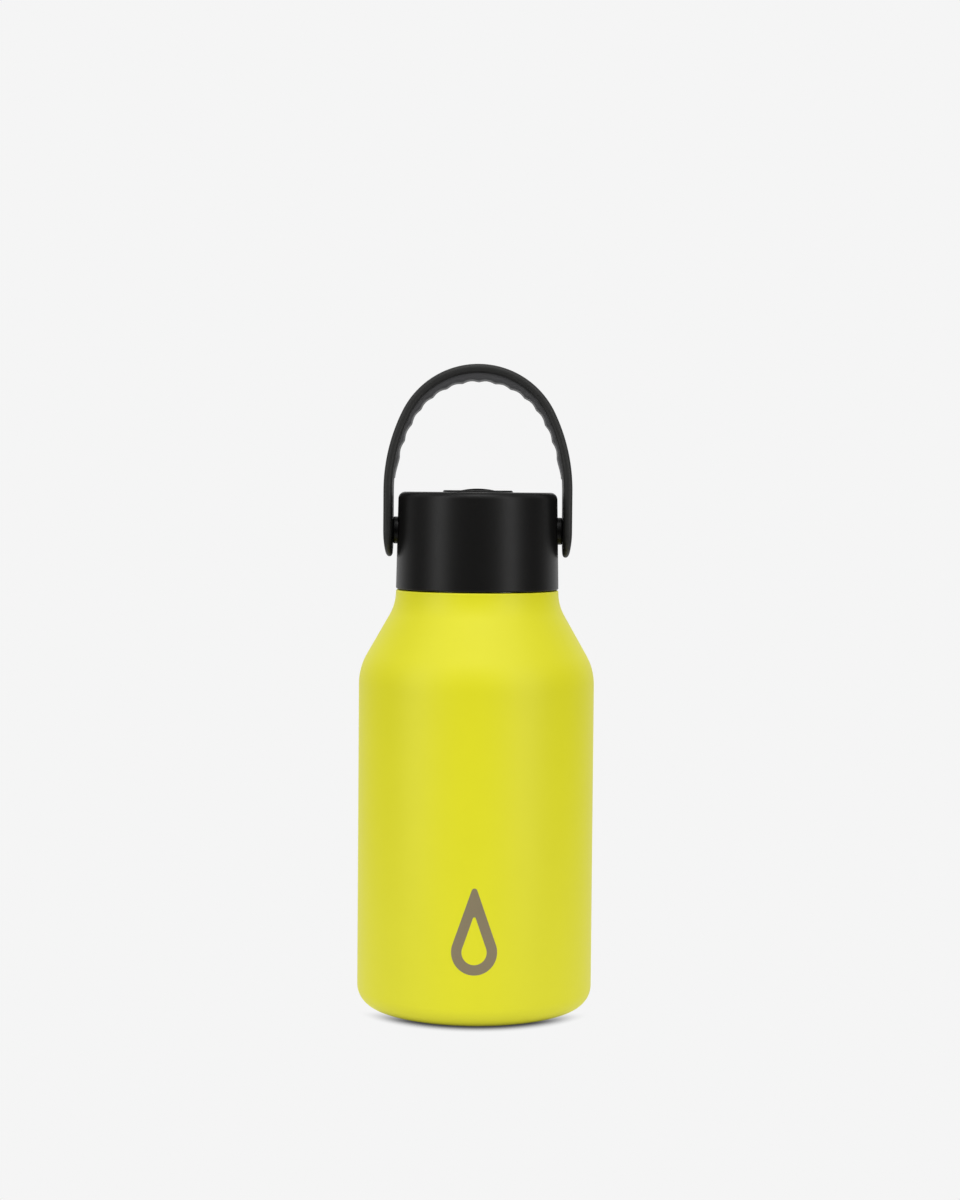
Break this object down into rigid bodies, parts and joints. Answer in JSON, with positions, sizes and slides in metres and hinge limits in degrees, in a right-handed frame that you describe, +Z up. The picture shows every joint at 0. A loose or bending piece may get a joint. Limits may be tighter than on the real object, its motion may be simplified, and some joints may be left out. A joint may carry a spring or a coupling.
{
  "type": "insulated kids water bottle",
  "caption": "Small double-wall bottle with a coated barrel, a screw-on straw lid, a fold-down spout and a swinging bail handle with a fluted grip.",
  "frame": {"origin": "centre of the foot ring, on the surface the bottle stands on", "axes": "+Z up along the bottle's axis, +X along the handle's pivots, -Y the side the folded spout points to"},
  "size_m": [0.073, 0.073, 0.1989],
  "materials": {
    "powder_coat": "matte powder coat, lime yellow",
    "brushed_steel": "brushed",
    "solder": "as cast solder",
    "getter": "sintered",
    "bare_steel": "satin stainless",
    "straw_plastic": "translucent moulded polypropylene",
    "silicone": "matte silicone",
    "cap_plastic": "fine satin moulding",
    "lid_plastic": "satin moulded black",
    "foam": "closed-cell foam",
    "soft_black": "soft matte",
    "handle_plastic": "satin moulded black",
    "grip_rubber": "soft-touch matte"
  },
  "bodies": {
    "bottle": {"outer_shell": "powder_coat", "outer_base": "powder_coat", "base_cover": "brushed_steel", "vacuum_seal": "solder", "getter_pellet": "getter", "getter_clip": "bare_steel", "inner_liner": "bare_steel", "inner_base": "bare_steel"},
    "straw": {"straw": "straw_plastic"},
    "seal": {"lid_seal": "silicone"},
    "lid": {"lid_shell": "lid_plastic", "lid_inner": "cap_plastic", "vent_valve": "silicone", "insulation_foam": "foam", "spout_seal": "silicone", "spout_pins": "bare_steel"},
    "spout": {"spout_body": "lid_plastic", "mouthpiece": "soft_black"},
    "handle": {"handle": "handle_plastic", "handle_grip": "grip_rubber"}
  },
  "joints": [
    {"name": "lid_lift", "type": "slide", "parent": "bottle", "child": "straw", "axis": [0, 0, 1], "range_m": [0, 0.15]},
    {"name": "lid_rise", "type": "slide", "parent": "straw", "child": "seal", "axis": [0, 0, 1], "range_m": [0, 0.006]},
    {"name": "lid_turn", "type": "hinge", "parent": "seal", "child": "lid", "pos_m": [0, 0, 0.1297], "axis": [0, 0, 1], "range_deg": [0, 540]},
    {"name": "spout_flip", "type": "hinge", "parent": "lid", "child": "spout", "pos_m": [0, 0, 0.155], "axis": [-1, 0, 0], "range_deg": [0, 90]},
    {"name": "handle_swing", "type": "hinge", "parent": "lid", "child": "handle", "pos_m": [0, 0, 0.1478], "axis": [1, 0, 0], "range_deg": [-126, 126]}
  ],
  "couplings": [
    {"joint": "lid_rise", "follows": "lid_turn", "m_per_rad": 0.0006366}
  ]
}
